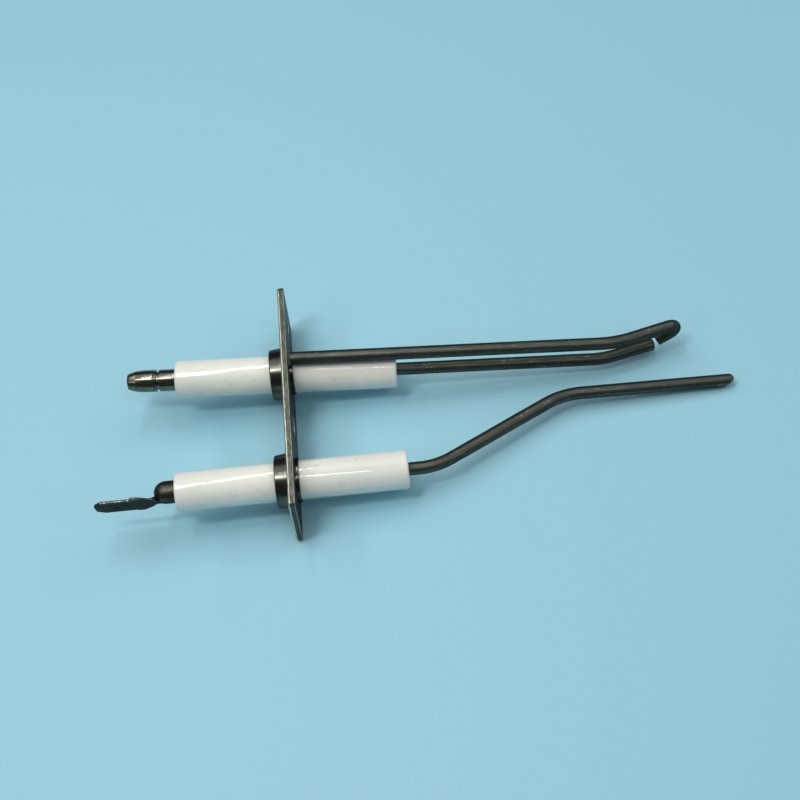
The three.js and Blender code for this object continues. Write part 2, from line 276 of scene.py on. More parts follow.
def eased(outline, closed):
    """Rounds the corners of an outline of (u, v, ease) points, and returns plain (u, v) points.

    An ease is cut down where the sides beside its corner are too short for it.
    """
    count = len(outline)
    points = []
    for i, (u, v, ease) in enumerate(outline):
        is_end = not closed and i in (0, count - 1)
        here = Vector((u, v))
        if is_end or ease == 0:
            points.append(here)
            continue
        before = Vector(outline[i - 1][:2]) - here
        after = Vector(outline[(i + 1) % count][:2]) - here
        half = before.angle(after) / 2
        reach = min(ease / math.tan(half), EASE_SHARE * before.length, EASE_SHARE * after.length)
        size = reach * math.tan(half)
        centre = here + (before.normalized() + after.normalized()).normalized() * size / math.sin(half)
        start = here + before.normalized() * reach - centre
        end = here + after.normalized() * reach - centre
        turn = start.angle_signed(end)
        steps = max(2, math.ceil(abs(turn) / EASE_STEP))
        for k in range(steps + 1):
            spoke = start.copy()
            spoke.rotate(Matrix.Rotation(-turn * k / steps, 2))
            points.append(centre + spoke)
    return [(p.x, p.y) for p in points]


def turned(name, outline, closed=True, steps=144, wobble=None):
    """A body turned about X from an eased outline of (x, radius, ease) points."""
    points = []
    rings = []
    for x, r in eased(outline, closed):
        if r < ON_AXIS:
            rings.append([len(points)])
            points.append((x, 0, 0))
            continue
        ring = []
        for k in range(steps):
            angle = 2 * math.pi * k / steps
            size = r if wobble is None else r + wobble(x, angle)
            ring.append(len(points))
            points.append((x, size * math.cos(angle), size * math.sin(angle)))
        rings.append(ring)
    faces = []
    pairs = list(zip(rings, rings[1:]))
    if closed:
        pairs.append((rings[-1], rings[0]))
    for a, b in pairs:
        for k in range(steps):
            n = (k + 1) % steps
            corners = (a[k % len(a)], a[n % len(a)], b[n % len(b)], b[k % len(b)])
            face = list(dict.fromkeys(corners))
            if len(face) > 2:
                faces.append(face)
    return mesh_object(name, points, faces)


def cylinder(name, ends, radius, steps):
    """A plain cylinder on the X axis, used as a cutter."""
    start, end = ends
    outline = [(start, 0.0, 0), (start, radius, 0), (end, radius, 0), (end, 0.0, 0)]
    return turned(name, outline, closed=False, steps=steps)


def leaning(y, lean):
    """The place of a piece built about X, whose axis meets the bush's middle at the given y."""
    pivot = Vector((BUSH_MIDDLE, y, 0)) * MM
    back = Matrix.Translation(Vector((-BUSH_MIDDLE, 0, 0)) * MM)
    return Matrix.Translation(pivot) @ Matrix.Rotation(lean, 4, "Z") @ back


SENSOR_SEAT = leaning(SENSOR_AXIS_Y, 0)
SPARK_SEAT = leaning(SPARK_AXIS_Y, 0)
SPARK_LINE = leaning(SPARK_AXIS_Y, SPARK_LEAN)


def heading(angle, rise=0.0):
    """The direction at an angle from X towards Y, raised towards Z."""
    flat = math.cos(rise)
    return Vector((flat * math.cos(angle), flat * math.sin(angle), math.sin(rise)))


def bent_path(corners, radii):
    """(point, tangent, distance) stations along a wire with round bends, all in millimetres."""
    stations = []

    def add(point, tangent):
        distance = 0.0
        if stations:
            distance = stations[-1][2] + (point - stations[-1][0]).length
        stations.append((point.copy(), tangent.normalized(), distance))

    def straight(start, end):
        count = max(1, math.ceil((end - start).length / ROD_SPACING))
        for i in range(count):
            add(start.lerp(end, i / count), end - start)

    position = corners[0]
    for i, radius in enumerate(radii):
        corner = corners[i + 1]
        incoming = (corner - corners[i]).normalized()
        outgoing = (corners[i + 2] - corner).normalized()
        angle = incoming.angle(outgoing)
        start = corner - incoming * radius * math.tan(angle / 2)
        axis = incoming.cross(outgoing).normalized()
        centre = start + axis.cross(incoming) * radius
        straight(position, start)
        count = max(8, math.ceil(angle / BEND_STEP))
        for k in range(count):
            turn = Matrix.Rotation(angle * k / count, 3, axis)
            add(centre + turn @ (start - centre), turn @ incoming)
        position = centre + Matrix.Rotation(angle, 3, axis) @ (start - centre)
    straight(position, corners[-1])
    add(corners[-1], corners[-1] - corners[-2])
    return stations


def with_eased_ends(stations, eases):
    """Adds closer stations where the wire's two ends are rounded by the given eases."""
    total = stations[-1][2]
    path = list(stations)
    for at_start, ease in zip((True, False), eases):
        for k in range(1, ROD_EASE_RINGS + 1):
            gap = ease * (1 - math.cos(math.pi / 2 * k / ROD_EASE_RINGS))
            distance = gap if at_start else total - gap
            for a, b in zip(stations, stations[1:]):
                if a[2] < distance < b[2]:
                    t = (distance - a[2]) / (b[2] - a[2])
                    path.append((a[0].lerp(b[0], t), a[1].lerp(b[1], t).normalized(), distance))
                    break
    path.sort(key=lambda station: station[2])
    return path


def ground_away(height, depth):
    """How far the tip is ground back, for a height across the rod from -1 to 1."""
    if height > TIP_PEAK:
        return TIP_UPPER_SHARE * depth * ((height - TIP_PEAK) / (1 - TIP_PEAK)) ** 2
    return depth * ((TIP_PEAK - height) / (1 + TIP_PEAK)) ** 2


def rod(name, corners, radii, tip_ease, seed, tip_grind=0.0):
    """A drawn wire along a bent path. Its `drawn` attribute holds each point as if the wire were straight."""
    eases = (ROD_START_EASE, tip_ease)
    path = with_eased_ends(bent_path(corners, radii), eases)
    total = path[-1][2]
    tip_rings = ROD_TIP_RINGS if tip_grind > 0 else 0
    path += [path[-1]] * tip_rings

    def eased_radius(distance):
        radius = ROD_RADIUS
        for ease, gap in zip(eases, (distance, total - distance)):
            if gap < ease:
                radius -= ease * (1 - math.sqrt(max(0.0, 1 - (1 - gap / ease) ** 2)))
        return radius

    def unevenness(distance, angle):
        across = ROD_UNEVEN_ACROSS
        y = math.cos(angle) * across + seed
        z = math.sin(angle) * across
        return ROD_UNEVENNESS * noise.noise(Vector((distance * ROD_UNEVEN_ALONG, y, z)))

    tangent = path[0][1]
    normal = (Vector((0, 0, 1)) - tangent * tangent.z).normalized()
    rings = []
    drawn = []
    points = []
    for index, (point, direction, distance) in enumerate(path):
        turn = tangent.rotation_difference(direction)
        normal = (turn @ normal).normalized()
        tangent = direction
        side = direction.cross(normal)
        radius = eased_radius(distance) * min(1.0, (len(path) - index) / (tip_rings + 1))
        near_tip = max(0.0, 1 - (total - distance) / TIP_REACH)
        ring = []
        for k in range(ROD_SIDES):
            angle = 2 * math.pi * k / ROD_SIDES
            size = radius + unevenness(distance, angle)
            spoke = normal * math.cos(angle) + side * math.sin(angle)
            pulled = near_tip * ground_away(spoke.dot(TIP_UP) * size / ROD_RADIUS, tip_grind)
            ring.append(len(points))
            points.append(point + spoke * size - direction * pulled)
            drawn.append((distance, size * math.cos(angle), size * math.sin(angle)))
        rings.append(ring)
    faces = []
    for a, b in zip(rings, rings[1:]):
        for k in range(ROD_SIDES):
            n = (k + 1) % ROD_SIDES
            faces.append((a[k], a[n], b[n], b[k]))
    for ring, (point, direction, distance) in ((rings[0], path[0]), (rings[-1], path[-1])):
        middle = len(points)
        pulled = ground_away(0.0, tip_grind) if distance == total else 0.0
        points.append(point - direction * pulled)
        drawn.append((distance, 0.0, 0.0))
        for k in range(ROD_SIDES):
            faces.append((ring[k], ring[(k + 1) % ROD_SIDES], middle))
    obj = mesh_object(name, points, faces)
    store_drawn(obj, points, drawn)
    return obj


def store_drawn(obj, points, drawn):
    """Stores the `drawn` places. Merging may renumber the vertices, so each is looked up by where it is."""
    lookup = {}
    for point, place in zip(points, drawn):
        lookup[tuple(round(c, 4) for c in point)] = place
    values = []
    for vertex in obj.data.vertices:
        here = tuple(c / MM for c in vertex.co)
        values.extend(lookup.get(tuple(round(c, 4) for c in here), here))
    attribute = obj.data.attributes.new("drawn", "FLOAT_VECTOR", "POINT")
    attribute.data.foreach_set("vector", values)


def boolean_cut(obj, *cutters, operation="DIFFERENCE"):
    """Cuts each cutter out of the piece, or joins it on, and removes the cutters."""
    for cutter in cutters:
        modifier = obj.modifiers.new("cut", "BOOLEAN")
        modifier.operation = operation
        modifier.solver = "EXACT"
        modifier.object = cutter
        bpy.context.view_layer.update()
        graph = bpy.context.evaluated_depsgraph_get()
        mesh = bpy.data.meshes.new_from_object(obj.evaluated_get(graph))
        obj.modifiers.clear()
        old = obj.data
        obj.data = mesh
        bpy.data.meshes.remove(old)
        bpy.data.objects.remove(cutter)


# ---- Material helpers ----


class Shade:
    """A material being built: a Principled shader, and short ways to add and join nodes."""

    def __init__(self, name, **sockets):
        self.material = bpy.data.materials.new(name)
        self.material.use_nodes = True
        self.tree = self.material.node_tree
        self.tree.nodes.clear()
        self.shader = self.tree.nodes.new("ShaderNodeBsdfPrincipled")
        output = self.tree.nodes.new("ShaderNodeOutputMaterial")
        self.tree.links.new(self.shader.outputs[0], output.inputs[0])
        self.height = None
        for key, value in sockets.items():
            self.shader.inputs[key.replace("_", " ")].default_value = value

    def node(self, kind, **settings):
        node = self.tree.nodes.new(kind)
        for key, value in settings.items():
            setattr(node, key, value)
        return node

    def join(self, value, socket):
        if isinstance(value, bpy.types.NodeSocket):
            self.tree.links.new(value, socket)
        elif isinstance(value, (tuple, list)) and len(value) == 3 and socket.type == "RGBA":
            socket.default_value = (*value, 1.0)
        else:
            socket.default_value = value

    def place(self, attribute=None):
        """Coordinates in millimetres: the piece's own, or a stored attribute's."""
        if attribute is not None:
            return self.node("ShaderNodeAttribute", attribute_name=attribute).outputs["Vector"]
        coordinates = self.node("ShaderNodeTexCoord").outputs["Object"]
        return self.stretch(coordinates, (1 / MM, 1 / MM, 1 / MM))

    def stretch(self, vector, scale, offset=(0, 0, 0)):
        node = self.node("ShaderNodeMapping")
        self.join(vector, node.inputs["Vector"])
        node.inputs["Scale"].default_value = scale
        node.inputs["Location"].default_value = offset
        return node.outputs[0]

    def noise(self, vector, scale=1.0, detail=3.0, roughness=0.5):
        node = self.node("ShaderNodeTexNoise")
        self.join(vector, node.inputs["Vector"])
        node.inputs["Scale"].default_value = scale
        node.inputs["Detail"].default_value = detail
        node.inputs["Roughness"].default_value = roughness
        return node.outputs["Fac"]

    def cells(self, vector, scale):
        node = self.node("ShaderNodeTexVoronoi", feature="F1")
        self.join(vector, node.inputs["Vector"])
        node.inputs["Scale"].default_value = scale
        return node.outputs["Distance"]

    def remap(self, value, low, high, to_low=0.0, to_high=1.0):
        node = self.node("ShaderNodeMapRange", interpolation_type="SMOOTHSTEP", clamp=True)
        self.join(value, node.inputs["Value"])
        for socket, number in zip(node.inputs[1:5], (low, high, to_low, to_high)):
            socket.default_value = number
        return node.outputs[0]

    def maths(self, operation, a, b=0.0):
        node = self.node("ShaderNodeMath", operation=operation)
        self.join(a, node.inputs[0])
        self.join(b, node.inputs[1])
        return node.outputs[0]

    def times(self, a, b):
        return self.maths("MULTIPLY", a, b)

    def blend(self, factor, a, b):
        node = self.node("ShaderNodeMix", data_type="RGBA")
        self.join(factor, node.inputs["Factor"])
        self.join(a, node.inputs["A"])
        self.join(b, node.inputs["B"])
        return node.outputs["Result"]

    def axis(self, vector, name):
        node = self.node("ShaderNodeSeparateXYZ")
        self.join(vector, node.inputs[0])
        return node.outputs[name]

    def set(self, socket, value):
        self.join(value, self.shader.inputs[socket])

    def relief(self, height, distance, strength=1.0):
        """Adds a bump layer whose full height is distance, in millimetres, over the ones already there."""
        node = self.node("ShaderNodeBump")
        node.inputs["Strength"].default_value = strength
        node.inputs["Distance"].default_value = distance * MM
        self.join(height, node.inputs["Height"])
        if self.height is not None:
            self.join(self.height, node.inputs["Normal"])
        self.height = node.outputs[0]
        self.join(self.height, self.shader.inputs["Normal"])

    def lathe_lines(self, place, scale, detail, roughness):
        """Noise that doesn't change round the X axis, like the marks of a lathe tool."""
        y = self.axis(place, "Y")
        z = self.axis(place, "Z")
        radius = self.maths("SQRT", self.maths("ADD", self.times(y, y), self.times(z, z)))
        sweep = self.node("ShaderNodeCombineXYZ")
        self.join(self.axis(place, "X"), sweep.inputs[0])
        self.join(radius, sweep.inputs[1])
        stretched = self.stretch(sweep.outputs[0], (scale, scale, 1.0))
        return self.noise(stretched, detail=detail, roughness=roughness)


def grey(value):
    return (value, value, value, 1.0)


# ---- Materials ----


def plate_steel():
    """Rolled strip: warm grey, satin, with lines along the strip, sheared rims, and eased corners painted
    bright for wear and a painted highlight.
    """
    shade = Shade("plate_steel", Metallic=1.0, Specular_Tint=grey(0.35))
    light, dark = (0.207, 0.218, 0.201), (0.149, 0.161, 0.147)
    line_tone = (0.26, 0.262, 0.24)
    fleck_tone = (0.13, 0.105, 0.08)
    rim_dark, rim_light = (0.06, 0.063, 0.05), (0.2, 0.205, 0.165)
    wear_and_highlight_tone = (0.85, 0.87, 0.77)
    place = shade.place()
    lines = shade.noise(shade.stretch(place, (6.0, 0.12, 9.0)), detail=4, roughness=0.65)
    blotch = shade.noise(place, 0.16, detail=4, roughness=0.6)
    fine = shade.noise(place, 2.6, detail=3, roughness=0.6)
    tone = shade.blend(shade.remap(blotch, 0.3, 0.7), light, dark)
    tone = shade.blend(shade.remap(lines, 0.25, 0.75, 0.0, 0.45), tone, line_tone)
    tone = shade.blend(shade.remap(fine, 0.58, 0.75, 0.0, 0.55), tone, fleck_tone)
    # The rims and the eased corners are told from the faces by how far the surface turns from the X axis.
    normal = shade.axis(shade.node("ShaderNodeNewGeometry").outputs["Normal"], "X")
    facing = shade.maths("ABSOLUTE", normal)
    rim = shade.remap(facing, 0.05, 0.2, 1.0, 0.0)
    corner = shade.times(shade.remap(facing, 0.1, 0.3), shade.remap(facing, 0.85, 0.97, 1.0, 0.0))
    torn = shade.noise(shade.stretch(place, (3.0, 0.8, 2.4)), detail=5, roughness=0.7)
    rim_tone = shade.blend(shade.remap(torn, 0.35, 0.65), rim_dark, rim_light)
    tone = shade.blend(rim, tone, rim_tone)
    # The eased corners are painted near white: bare wear, and a painted highlight along the edges.
    wear_and_edge_highlight = shade.times(corner, shade.remap(torn, 0.3, 0.6, 0.35, 1.0))
    tone = shade.blend(wear_and_edge_highlight, tone, wear_and_highlight_tone)
    shade.set("Base Color", tone)
    rough = shade.remap(lines, 0.2, 0.8, 0.24, 0.4)
    shade.set("Roughness", shade.maths("ADD", rough, shade.times(rim, 0.16)))
    shade.relief(lines, 0.012, 0.5)
    shade.relief(shade.times(torn, rim), 0.06, 0.6)
    return shade.material


def bush_steel():
    """Turned steel, darkened: fine turning lines round it and a few bright nicks."""
    shade = Shade("bush_steel", Metallic=1.0, Specular_Tint=grey(0.5))
    light, dark = (0.127, 0.131, 0.113), (0.078, 0.085, 0.076)
    line_tone = (0.12, 0.12, 0.105)
    nick_tone = (0.38, 0.37, 0.33)
    place = shade.place()
    lines = shade.lathe_lines(place, 9.0, detail=3, roughness=0.7)
    blotch = shade.noise(place, 0.3, detail=4, roughness=0.6)
    nick = shade.remap(shade.noise(shade.stretch(place, (2.0, 1.2, 1.2)), 1.4, detail=2), 0.66, 0.74)
    tone = shade.blend(shade.remap(blotch, 0.3, 0.7), light, dark)
    tone = shade.blend(shade.remap(lines, 0.35, 0.7, 0.0, 0.4), tone, line_tone)
    tone = shade.blend(shade.times(nick, 0.5), tone, nick_tone)
    shade.set("Base Color", tone)
    shade.set("Roughness", shade.remap(blotch, 0.25, 0.75, 0.17, 0.26))
    shade.relief(lines, 0.01, 0.5)
    shade.relief(shade.noise(place, 1.1, detail=2), 0.008, 0.3)
    return shade.material


def glazed_ceramic():
    """White glazed ceramic: slightly uneven glaze, faint stains, pinholes and greyer, darker end edges."""
    shade = Shade(
        "glazed_ceramic",
        Metallic=0.0,
        IOR=1.54,
        Coat_Weight=1.0,
        Coat_Roughness=0.02,
        Coat_IOR=1.5,
        Specular_IOR_Level=0.12,
    )
    light, dark = (0.87, 0.885, 0.83), (0.82, 0.84, 0.79)
    stain_tone = (0.62, 0.52, 0.46)
    pinhole_tone = (0.09, 0.07, 0.06)
    edge_dark, edge_light = (0.70, 0.66, 0.60), (0.80, 0.78, 0.74)
    place = shade.place()
    cloud = shade.noise(place, 0.11, detail=4, roughness=0.55)
    tone = shade.blend(shade.remap(cloud, 0.3, 0.7), light, dark)
    stain = shade.noise(shade.stretch(place, (0.34, 0.5, 0.5), (3.1, 0, 0)), detail=5, roughness=0.62)
    tone = shade.blend(shade.remap(stain, 0.575, 0.74, 0.0, 0.55), tone, stain_tone)
    specks = shade.remap(shade.cells(place, 0.42), 0.035, 0.075, 1.0, 0.0)
    few = shade.remap(shade.noise(place, 0.35, detail=1), 0.56, 0.6)
    tone = shade.blend(shade.times(specks, few), tone, pinhole_tone)
    # The last millimetre at each end is blended towards a greyer, darker tone.
    from_middle = shade.maths("ADD", shade.axis(place, "X"), -INSULATOR_MIDDLE)
    ends = shade.maths("ABSOLUTE", from_middle)
    edge = shade.remap(ends, INSULATOR_HALF_LENGTH - 1.0, INSULATOR_HALF_LENGTH)
    edge_tone = shade.blend(shade.remap(stain, 0.4, 0.6), edge_dark, edge_light)
    tone = shade.blend(shade.times(edge, 0.7), tone, edge_tone)
    shade.set("Base Color", tone)
    smudge = shade.noise(place, 0.5, detail=5, roughness=0.7)
    shade.set("Roughness", shade.remap(smudge, 0.3, 0.75, 0.16, 0.34))
    shade.relief(shade.noise(shade.stretch(place, (0.3, 0.55, 0.55)), detail=1.5), 0.05, 0.5)
    shade.relief(shade.noise(place, 1.1, detail=2), 0.02, 0.45)
    shade.relief(shade.noise(place, 2.4, detail=2), 0.006, 0.4)
    shade.set("Coat Normal", shade.height)
    return shade.material


def rod_alloy():
    """Drawn heating alloy, oxidised: dark grey-brown, drawing lines along it, scuffs and tinted patches."""
    shade = Shade("rod_alloy", Metallic=1.0, Specular_Tint=grey(0.35))
    light, dark = (0.098, 0.106, 0.09), (0.06, 0.069, 0.062)
    line_tone = (0.17, 0.175, 0.145)
    grain_tone = (0.03, 0.03, 0.027)
    scuff_tone = (0.40, 0.385, 0.335)
    drawn = shade.place("drawn")
    lines = shade.noise(shade.stretch(drawn, (0.16, 5.0, 5.0)), detail=5, roughness=0.7)
    patch = shade.noise(shade.stretch(drawn, (0.13, 0.5, 0.5)), detail=4, roughness=0.6)
    grain = shade.noise(shade.stretch(drawn, (2.2, 4.0, 4.0)), detail=3, roughness=0.6)
    tone = shade.blend(shade.remap(patch, 0.3, 0.7), light, dark)
    tone = shade.blend(shade.remap(lines, 0.45, 0.72, 0.0, 0.7), tone, line_tone)
    tone = shade.blend(shade.remap(grain, 0.6, 0.75, 0.0, 0.6), tone, grain_tone)
    scuff = shade.noise(shade.stretch(drawn, (0.45, 1.6, 1.6), (11.3, 0, 0)), detail=4, roughness=0.65)
    scuffed = shade.remap(scuff, 0.63, 0.7)
    tone = shade.blend(shade.times(scuffed, 0.75), tone, scuff_tone)
    shade.set("Base Color", tone)
    rough = shade.remap(patch, 0.25, 0.75, 0.38, 0.48)
    shade.set("Roughness", shade.maths("SUBTRACT", rough, shade.times(scuffed, 0.12)))
    shade.relief(lines, 0.014, 0.6)
    shade.relief(grain, 0.012, 0.5)
    return shade.material


def pin_nickel():
    """Plated pin: bright, with turning lines round it and a brown tint towards its nose."""
    shade = Shade("pin_nickel", Metallic=1.0)
    light, dark = (0.196, 0.191, 0.159), (0.127, 0.129, 0.108)
    nose_tone = (0.16, 0.134, 0.095)
    line_tone = (0.09, 0.085, 0.075)
    place = shade.place()
    along = shade.axis(place, "X")
    lines = shade.lathe_lines(place, 7.0, detail=4, roughness=0.75)
    wear = shade.noise(shade.stretch(place, (0.5, 0.9, 0.9)), detail=4, roughness=0.65)
    tone = shade.blend(shade.remap(wear, 0.3, 0.7), light, dark)
    nose = shade.remap(along, PIN_TIP, PIN_TINT_END, 1.0, 0.0)
    tint = shade.times(nose, shade.remap(wear, 0.25, 0.7))
    tone = shade.blend(shade.times(tint, 0.75), tone, nose_tone)
    tone = shade.blend(shade.remap(lines, 0.55, 0.8, 0.0, 0.35), tone, line_tone)
    shade.set("Base Color", tone)
    shade.set("Roughness", shade.remap(wear, 0.25, 0.75, 0.18, 0.23))
    shade.relief(lines, 0.008, 0.5)
    shade.relief(shade.noise(place, 0.9, detail=2), 0.005, 0.3)
    return shade.material


def tab_steel():
    """Pressed steel: dull, lines along it, torn shoulders, blade and shoulder edges painted bright for wear
    and a painted highlight, and a rusted, tinted barrel.
    """
    shade = Shade("tab_steel", Metallic=1.0, Specular_Tint=grey(0.4))
    light, dark = (0.085, 0.095, 0.088), (0.05, 0.058, 0.055)
    line_tone = (0.13, 0.138, 0.122)
    heat_tone = (0.06, 0.045, 0.034)
    blade_edge_highlight_tone = (0.4, 0.4, 0.35)
    shoulder_highlight_tone = (0.34, 0.33, 0.29)
    rust_tone = (0.10, 0.07, 0.048)
    bare_tone = (0.3, 0.29, 0.25)
    place = shade.place()
    along = shade.axis(place, "X")
    across = shade.maths("ABSOLUTE", shade.axis(place, "Z"))
    lines = shade.noise(shade.stretch(place, (0.35, 5.0, 5.0)), detail=4, roughness=0.7)
    patch = shade.noise(place, 0.45, detail=4, roughness=0.65)
    grain = shade.noise(place, 3.0, detail=3, roughness=0.65)
    tone = shade.blend(shade.remap(patch, 0.3, 0.7), light, dark)
    tone = shade.blend(shade.remap(lines, 0.45, 0.75, 0.0, 0.4), tone, line_tone)
    heat = shade.times(shade.remap(along, -34.0, -30.5), shade.remap(patch, 0.38, 0.62))
    tone = shade.blend(shade.times(heat, 0.5), tone, heat_tone)

    # The blade's long edges and the shoulders' edges are painted bright, speckled by the grain: wear, and a
    # painted highlight along the edges.
    blade_edge = shade.times(shade.remap(along, -37.1, -37.4), shade.remap(across, 2.9, 3.05))
    wear_and_edge_highlight = shade.times(blade_edge, shade.remap(grain, 0.45, 0.62, 0.0, 0.8))
    tone = shade.blend(wear_and_edge_highlight, tone, blade_edge_highlight_tone)
    shoulders = shade.times(shade.remap(along, -37.3, -37.0), shade.remap(along, -33.0, -34.0))
    shoulder_edge = shade.times(shoulders, shade.remap(across, 3.4, 3.8))
    nicks_and_highlight = shade.times(shoulder_edge, shade.remap(grain, 0.45, 0.6))
    tone = shade.blend(shade.times(nicks_and_highlight, 0.7), tone, shoulder_highlight_tone)

    barrel = shade.remap(along, -33.2, -31.8)
    pitted = shade.noise(place, 1.5, detail=4, roughness=0.75)
    rust = shade.times(barrel, shade.remap(pitted, 0.5, 0.62))
    tone = shade.blend(shade.times(rust, 0.6), tone, rust_tone)
    bare = shade.times(barrel, shade.remap(pitted, 0.38, 0.3))
    tone = shade.blend(bare, tone, bare_tone)
    shade.set("Base Color", tone)
    shade.set("Roughness", shade.remap(patch, 0.25, 0.75, 0.3, 0.46))
    shade.relief(lines, 0.012, 0.5)
    shade.relief(grain, 0.02, 0.5)
    shade.relief(shade.times(pitted, barrel), 0.06, 0.5)
    return shade.material


def cement():
    """Ceramic cement: pale, matte and grainy, with small pits."""
    shade = Shade("cement", Metallic=0.0, Roughness=0.92)
    dark, light = (0.40, 0.37, 0.32), (0.56, 0.53, 0.47)
    pit_tone = (0.16, 0.14, 0.12)
    place = shade.place()
    grain = shade.noise(place, 3.2, detail=5, roughness=0.7)
    pits = shade.remap(shade.cells(place, 2.0), 0.12, 0.3)
    tone = shade.blend(shade.remap(grain, 0.3, 0.7), dark, light)
    tone = shade.blend(pits, shade.blend(0.6, tone, pit_tone), tone)
    shade.set("Base Color", tone)
    shade.relief(grain, 0.1, 0.8)
    shade.relief(pits, 0.1, 0.6)
    return shade.material


def weld_metal():
    """Weld bead: rippled, dark, with straw and blue heat tints."""
    shade = Shade("weld_metal", Metallic=1.0)
    dark, light = (0.11, 0.10, 0.095), (0.19, 0.165, 0.135)
    blue_tint = (0.10, 0.10, 0.15)
    straw_tint = (0.20, 0.12, 0.06)
    place = shade.place()
    ripple = shade.noise(shade.stretch(place, (2.0, 1.3, 1.3)), detail=4, roughness=0.6)
    tone = shade.blend(shade.remap(ripple, 0.35, 0.65), dark, light)
    tint = shade.noise(place, 0.7, detail=2)
    tone = shade.blend(shade.remap(tint, 0.52, 0.62, 0.0, 0.5), tone, blue_tint)
    tone = shade.blend(shade.remap(tint, 0.35, 0.45, 0.5, 0.0), tone, straw_tint)
    shade.set("Base Color", tone)
    shade.set("Roughness", shade.remap(ripple, 0.3, 0.7, 0.34, 0.55))
    shade.relief(ripple, 0.08, 0.8)
    return shade.material


PLATE_STEEL = plate_steel()
BUSH_STEEL = bush_steel()
CERAMIC = glazed_ceramic()
ROD_ALLOY = rod_alloy()
PIN_NICKEL = pin_nickel()
TAB_STEEL = tab_steel()
CEMENT = cement()
WELD_METAL = weld_metal()

# ---- Mounting plate ----

ROLL_STEPS = 8
EDGE_STEPS = 4
HOLE_STEPS = 96


def plate_rim(thickness):
    """(depth, inset) points across the plate's rim: a rolled edge on one face, a small ease on the other."""
    rim = [(0.0, PLATE_ROLL_DEPTH)]
    for k in range(1, ROLL_STEPS + 1):
        t = k / ROLL_STEPS
        inset = PLATE_ROLL_DEPTH * (1 - math.sin(t * math.pi / 2)) ** PLATE_ROLL_POWER
        rim.append((PLATE_ROLL_WIDTH * t, inset))
    rim.append((thickness - PLATE_EDGE_EASE, 0.0))
    for k in range(1, EDGE_STEPS + 1):
        turn = k / EDGE_STEPS * math.pi / 2
        depth = thickness - PLATE_EDGE_EASE * (1 - math.sin(turn))
        rim.append((depth, PLATE_EDGE_EASE * (1 - math.cos(turn))))
    return rim


def plate_piece():
    """The strip, punched from its outer face: the outline and each hole are loops along the same rim."""
    low, high = (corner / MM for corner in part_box("mounting_plate"))

    def outline(inset):
        radius = PLATE_CORNER_RADIUS - inset
        corners = [
            (low.y + inset, low.z + inset, radius),
            (high.y - inset, low.z + inset, radius),
            (high.y - inset, high.z - inset, radius),
            (low.y + inset, high.z - inset, radius),
        ]
        return eased(corners, closed=True)

    def hole(y, radius):
        turns = [2 * math.pi * k / HOLE_STEPS for k in range(HOLE_STEPS)]
        return lambda inset: [
            (y + (radius + inset) * math.cos(a), (radius + inset) * math.sin(a)) for a in turns
        ]

    loops = [outline]
    loops += [hole(y, FIXING_HOLE_RADIUS) for y in FIXING_HOLES_Y]
    loops += [hole(y, BUSH_SPIGOT_RADIUS + SEAT_PLAY) for y in (SPARK_AXIS_Y, SENSOR_AXIS_Y)]
    form = bmesh.new()
    ends = ([], [])
    for loop in loops:
        rings = []
        for depth, inset in plate_rim(high.x - low.x):
            rings.append([form.verts.new(Vector((low.x + depth, u, v)) * MM) for u, v in loop(inset)])
        for a, b in zip(rings, rings[1:]):
            for k in range(len(a)):
                n = (k + 1) % len(a)
                form.faces.new((a[k], a[n], b[n], b[k]))
        for edges, ring in zip(ends, (rings[0], rings[-1])):
            for k in range(len(ring)):
                edges.append(form.edges.get((ring[k], ring[(k + 1) % len(ring)])))
    for edges in ends:
        bmesh.ops.triangle_fill(form, use_beauty=True, edges=edges)
    bmesh.ops.recalc_face_normals(form, faces=form.faces)
    mesh = bpy.data.meshes.new("plate")
    form.to_mesh(mesh)
    form.free()
    obj = bpy.data.objects.new("plate", mesh)
    bpy.context.scene.collection.objects.link(obj)
    return smooth(obj, angle=50)


finish_piece(plate_piece(), "mounting_plate", PLATE_STEEL)

# ---- Bushes, insulators and cement ----


def bush_piece(side):
    """A flange that tapers towards its outer end, with a spigot that goes through the plate."""
    under_flange = -PLATE_THICKNESS - SEAT_PLAY
    outline = [
        (BUSH_OUTER_END, BUSH_BORE_RADIUS, BUSH_EDGE_EASE),
        (BUSH_OUTER_END, BUSH_RADIUS_OUTER_END, BUSH_OUTER_EASE),
        (under_flange, BUSH_RADIUS_AT_PLATE, BUSH_FLANGE_EASE),
        (under_flange, BUSH_SPIGOT_RADIUS, 0.0),
        (BUSH_INNER_END, BUSH_SPIGOT_RADIUS, BUSH_EDGE_EASE),
        (BUSH_INNER_END, BUSH_BORE_RADIUS, BUSH_MOUTH_EASE),
    ]
    return smooth(turned(f"{side}_bush_turned", outline))


def insulator_piece(side):
    """A ceramic tube, bored for the rod, with a wider pocket for the potting at its back end."""
    shoulder = INSULATOR_BACK_END + POTTING_DEPTH
    outline = [
        (INSULATOR_BACK_END, POTTING_RADIUS, POTTING_MOUTH_EASE),
        (INSULATOR_BACK_END, INSULATOR_RADIUS, INSULATOR_EDGE_RADIUS),
        (INSULATOR_FRONT_END, INSULATOR_RADIUS, INSULATOR_EDGE_RADIUS),
        (INSULATOR_FRONT_END, INSULATOR_BORE_RADIUS, INSULATOR_BORE_EASE),
        (shoulder, INSULATOR_BORE_RADIUS, 0.0),
        (shoulder, POTTING_RADIUS, 0.0),
    ]
    return smooth(turned(f"{side}_insulator_glazed", outline))


def potting_piece(side):
    """The ring of cement that holds the rod in the insulator's pocket."""
    back = INSULATOR_BACK_END + SEAT_PLAY
    front = INSULATOR_BACK_END + POTTING_DEPTH - SEAT_PLAY
    outline = [
        (back, ROD_RADIUS + SEAT_PLAY, POTTING_EDGE_EASE),
        (back, POTTING_RADIUS - SEAT_PLAY, POTTING_EDGE_EASE),
        (front, POTTING_RADIUS - SEAT_PLAY, 0.0),
        (front, ROD_RADIUS + SEAT_PLAY, 0.0),
    ]
    return smooth(turned(f"{side}_rod_potting", outline, steps=72))


